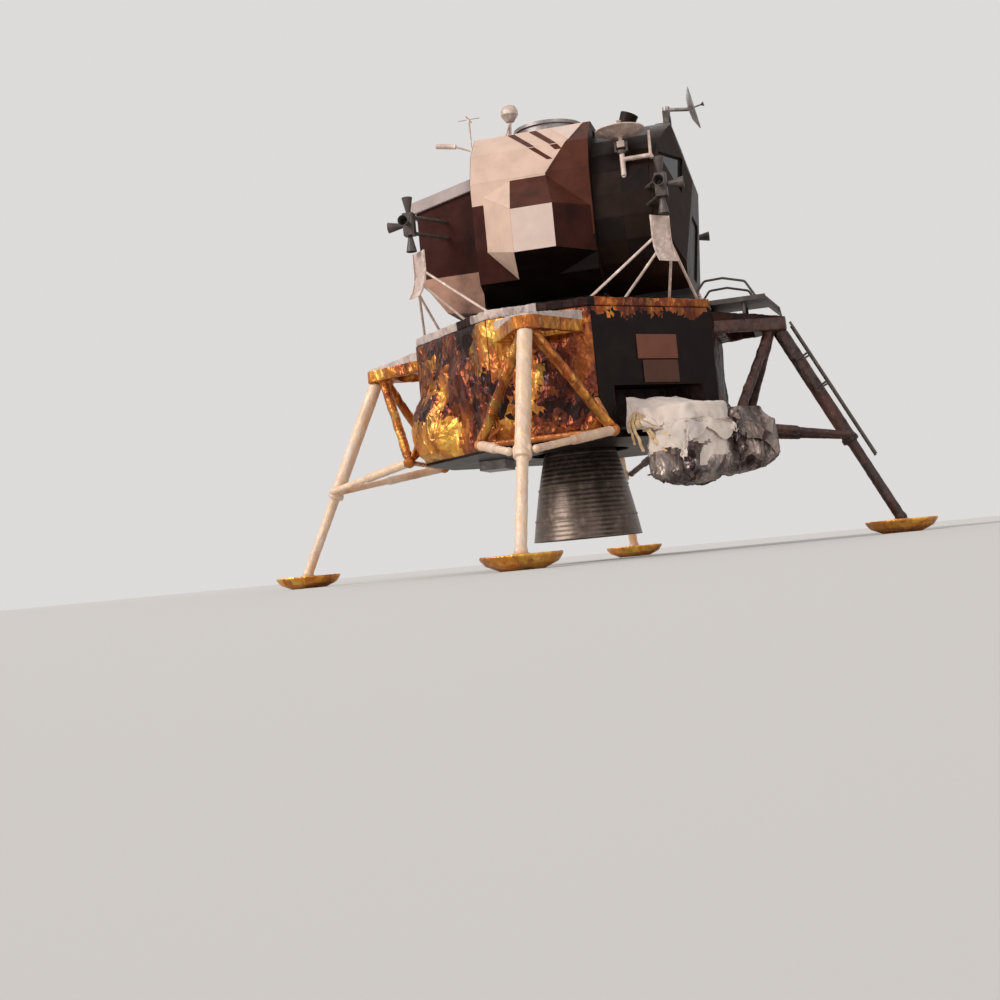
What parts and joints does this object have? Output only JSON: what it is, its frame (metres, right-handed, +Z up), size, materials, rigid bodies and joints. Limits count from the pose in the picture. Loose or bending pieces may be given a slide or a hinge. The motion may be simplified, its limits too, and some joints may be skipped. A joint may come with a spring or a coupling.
{
  "type": "lunar lander",
  "caption": "Crewed two-stage lunar lander: octagonal foil-wrapped descent stage on four sprung legs, with a faceted ascent cabin, thruster clusters, antennas and a lowered tool pallet.",
  "frame": {"origin": "on the ground under the centre of the stack", "axes": "+Z up, -Y towards the front with hatch, porch and ladder, -X towards the crew's right"},
  "size_m": [9.424, 9.424, 6.64],
  "materials": {
    "foil_dark": "crumpled dark film",
    "foil_pale": "crumpled pale film",
    "foil_amber": "crumpled amber film",
    "foil_gold": "crumpled gold film",
    "panel_cream": "thin buckled panel",
    "panel_brown": "thin buckled panel",
    "panel_black": "thin buckled panel",
    "panel_grey": "satin",
    "strut_pale": "wrapped film",
    "aluminium_dark": "satin",
    "engine_alloy": "heat stained",
    "blanket_white": "crumpled blanket",
    "window_glass": "smooth"
  },
  "bodies": {
    "lander": {"descent_body": "foil_dark", "deck_rim": "foil_pale", "base_shield": "foil_gold", "ladder": "aluminium_dark", "porch": "aluminium_dark", "plume_deflectors": "strut_pale", "fuel_cask": "aluminium_dark", "interstage_posts": "foil_dark", "landing_radar": "panel_grey", "cabin_shell": "panel_black", "cabin_front": "panel_black", "window_glass": "window_glass", "midsection": "panel_brown", "docking_tunnel": "panel_grey", "ascent_engine": "panel_grey", "tank_fairing_right": "panel_cream", "tank_fairing_left": "panel_cream", "aft_bay": "panel_brown", "aft_roof": "panel_grey", "rcs_front_right": "panel_grey", "rcs_front_left": "panel_grey", "rcs_rear_right": "panel_grey", "rcs_rear_left": "panel_grey", "radar_bracket": "aluminium_dark", "sband_boom": "strut_pale", "antennas": "strut_pale", "telescope_shade": "panel_black", "outrigger_front": "foil_amber", "outrigger_left": "foil_amber", "outrigger_rear": "foil_amber", "outrigger_right": "foil_amber", "primary_strut_front": "strut_pale", "primary_strut_left": "strut_pale", "primary_strut_rear": "strut_pale", "primary_strut_right": "strut_pale", "side_struts_front": "strut_pale", "side_struts_left": "strut_pale", "side_struts_rear": "strut_pale", "side_struts_right": "strut_pale", "deployment_truss_front": "foil_amber", "deployment_truss_left": "foil_amber", "deployment_truss_rear": "foil_amber", "deployment_truss_right": "foil_amber", "footpad_front": "foil_gold", "footpad_left": "foil_gold", "footpad_rear": "foil_gold", "footpad_right": "foil_gold"},
    "gimbal_ring": {"gimbal_ring": "aluminium_dark"},
    "descent_engine": {"engine_bell": "engine_alloy"},
    "forward_hatch": {"forward_hatch": "panel_black"},
    "overhead_hatch": {"overhead_hatch": "panel_grey"},
    "tool_pallet": {"mesa_pallet": "aluminium_dark", "mesa_bag": "blanket_white", "mesa_blankets": "blanket_white"},
    "radar_yoke": {"radar_yoke": "aluminium_dark"},
    "radar_antenna": {"radar_antenna": "panel_grey"},
    "sband_yoke": {"sband_yoke": "aluminium_dark"},
    "sband_dish": {"sband_dish": "panel_grey"},
    "kit_bay_door": {"kit_bay_door": "panel_black"}
  },
  "joints": [
    {"name": "engine_pitch", "type": "hinge", "parent": "lander", "child": "gimbal_ring", "pos_m": [0, 0, 2.44], "axis": [1, 0, 0], "range_deg": [-6, 6]},
    {"name": "engine_roll", "type": "hinge", "parent": "gimbal_ring", "child": "descent_engine", "pos_m": [0, 0, 2.44], "axis": [0, 1, 0], "range_deg": [-6, 6]},
    {"name": "forward_hatch_hinge", "type": "hinge", "parent": "lander", "child": "forward_hatch", "pos_m": [-0.403, -1.78316, 4.168], "axis": [0, -0.1191, 0.9929], "range_deg": [0, 85]},
    {"name": "overhead_hatch_hinge", "type": "hinge", "parent": "lander", "child": "overhead_hatch", "pos_m": [0, 0.454, 5.85], "axis": [1, 0, 0], "range_deg": [0, 78]},
    {"name": "tool_pallet_hinge", "type": "hinge", "parent": "lander", "child": "tool_pallet", "pos_m": [-1.38232, -1.38232, 1.65], "axis": [-0.7071, 0.7071, 0], "range_deg": [0, 90]},
    {"name": "radar_elevation", "type": "hinge", "parent": "lander", "child": "radar_yoke", "pos_m": [0, -1.69, 6.075], "axis": [1, 0, 0], "range_deg": [-60, 15]},
    {"name": "radar_sweep", "type": "hinge", "parent": "radar_yoke", "child": "radar_antenna", "pos_m": [0, -1.69, 6.075], "axis": [0, 0, 1], "range_deg": [-40, 40]},
    {"name": "sband_turn", "type": "hinge", "parent": "lander", "child": "sband_yoke", "pos_m": [-1.22, -1.17, 5.32], "axis": [0, 0, 1], "range_deg": [-60, 0]},
    {"name": "sband_tilt", "type": "hinge", "parent": "sband_yoke", "child": "sband_dish", "pos_m": [-1.22, -1.17, 5.44], "axis": [0, 1, 0], "range_deg": [-60, 0]},
    {"name": "kit_bay_door_hinge", "type": "hinge", "parent": "lander", "child": "kit_bay_door", "pos_m": [1.20887, 1.57656, 2.78], "axis": [0.7071, -0.7071, 0], "range_deg": [0, 100]}
  ]
}
